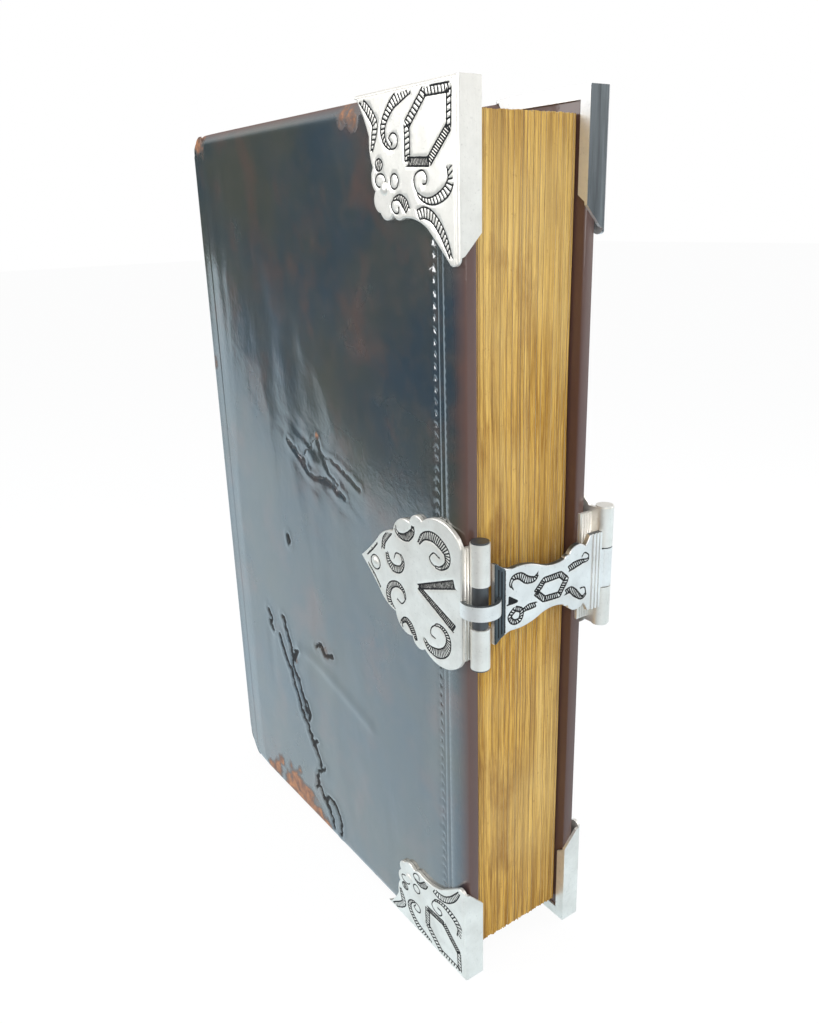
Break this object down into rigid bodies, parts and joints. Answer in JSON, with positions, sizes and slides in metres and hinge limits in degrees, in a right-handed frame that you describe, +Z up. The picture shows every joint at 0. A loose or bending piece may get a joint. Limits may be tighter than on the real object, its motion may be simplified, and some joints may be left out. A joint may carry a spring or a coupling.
{
  "type": "antique leather book",
  "caption": "Upright antique leather book with raised bands, engraved silver corner mounts and a hinged silver clasp across the fore edge; covers and clasp open.",
  "frame": {"origin": "middle of the spine's tail, on the surface that the book stands on", "axes": "+X from the spine to the fore edge, +Y from the front cover to the back cover, +Z up from tail to head"},
  "size_m": [0.1066, 0.0341, 0.16],
  "materials": {
    "leather": "worn, glossy",
    "board": "plain",
    "leaves": "aged edges",
    "endpaper": "aged",
    "cord": "hemp",
    "endband": "silk over cord",
    "silver": "satin, engraved",
    "dark_silver": "tarnished"
  },
  "bodies": {
    "book_block": {"text_block": "leaves", "spine_leather": "leather", "sewing_cords": "cord", "headband": "endband", "tailband": "endband"},
    "front_cover": {"front_board": "board", "front_leather": "leather", "front_pastedown": "endpaper", "front_head_corner": "silver", "front_tail_corner": "silver", "front_clasp_plate": "silver", "front_rivets": "silver", "catch_bar": "dark_silver"},
    "back_cover": {"back_board": "board", "back_leather": "leather", "back_pastedown": "endpaper", "back_head_corner": "silver", "back_tail_corner": "silver", "back_clasp_plate": "silver", "back_rivets": "silver", "hinge_pin": "dark_silver"},
    "clasp": {"clasp_strap": "silver"}
  },
  "joints": [
    {"name": "front_cover_hinge", "type": "hinge", "parent": "book_block", "child": "front_cover", "pos_m": [0.0018, -0.0146, 0.08], "axis": [0, 0, -1], "range_deg": [0, 175]},
    {"name": "back_cover_hinge", "type": "hinge", "parent": "book_block", "child": "back_cover", "pos_m": [0.0018, 0.0146, 0.08], "axis": [0, 0, 1], "range_deg": [0, 175]},
    {"name": "clasp_hinge", "type": "hinge", "parent": "back_cover", "child": "clasp", "pos_m": [0.09955, 0.0163, 0.08], "axis": [0, 0, 1], "range_deg": [0, 180]}
  ]
}
